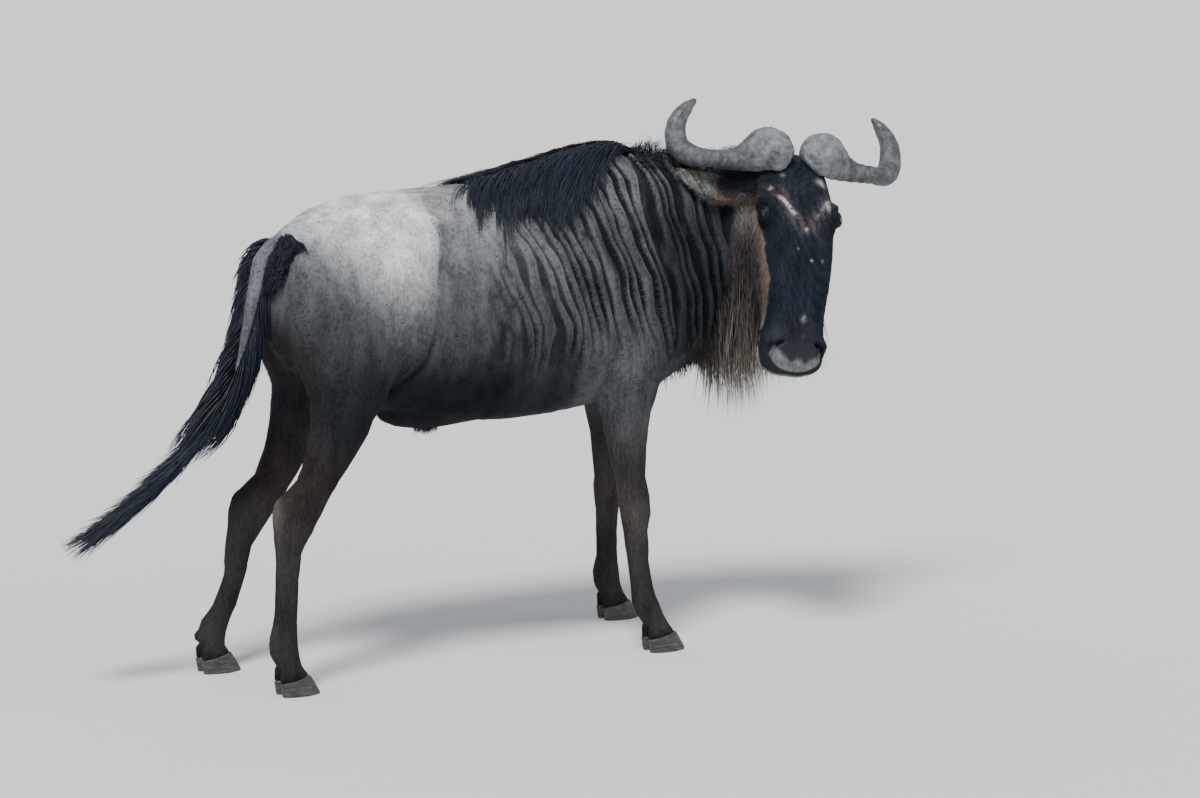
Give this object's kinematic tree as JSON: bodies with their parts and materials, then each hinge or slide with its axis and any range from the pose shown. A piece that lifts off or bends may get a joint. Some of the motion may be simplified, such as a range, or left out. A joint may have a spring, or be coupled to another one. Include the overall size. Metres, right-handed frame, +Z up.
{
  "type": "wildebeest",
  "caption": "Still model of a standing wildebeest bull with its head turned aside, with hooked horns, mane, beard and a tufted tail.",
  "frame": {"origin": "bottom centre of the bounding box, on the ground", "axes": "+X from the rump towards the chest, along the body, +Y to the animal's left, +Z up; the head turns to the animal's right"},
  "size_m": [2.3008, 0.6508, 1.4151],
  "materials": {
    "hide": "short dark grey-brown coat with a dull sheen",
    "ear": "short soft hair, paler inside the cup",
    "long_hair": "long black hair, the beard paler towards its tips",
    "horn": "grey ringed keratin, rough at the bosses",
    "hoof": "dark worn keratin",
    "eye": "wet dark brown"
  },
  "bodies": {
    "root": {"torso": "hide", "neck": "hide", "head": "hide", "front_leg_right_upper": "hide", "front_leg_right_lower": "hide", "front_hoof_right_outer": "hoof", "front_hoof_right_inner": "hoof", "front_leg_left_upper": "hide", "front_leg_left_lower": "hide", "front_hoof_left_outer": "hoof", "front_hoof_left_inner": "hoof", "hind_leg_right_upper": "hide", "hind_leg_right_lower": "hide", "hind_hoof_right_outer": "hoof", "hind_hoof_right_inner": "hoof", "hind_leg_left_upper": "hide", "hind_leg_left_lower": "hide", "hind_hoof_left_outer": "hoof", "hind_hoof_left_inner": "hoof", "eye_right": "eye", "horn_right": "horn", "ear_right": "ear", "eye_left": "eye", "horn_left": "horn", "ear_left": "ear", "tail_dock": "hide", "mane": "long_hair", "beard": "long_hair", "jaw_beard": "long_hair", "forelock": "long_hair", "tail_hair": "long_hair", "sheath_tuft": "long_hair"}
  },
  "joints": []
}
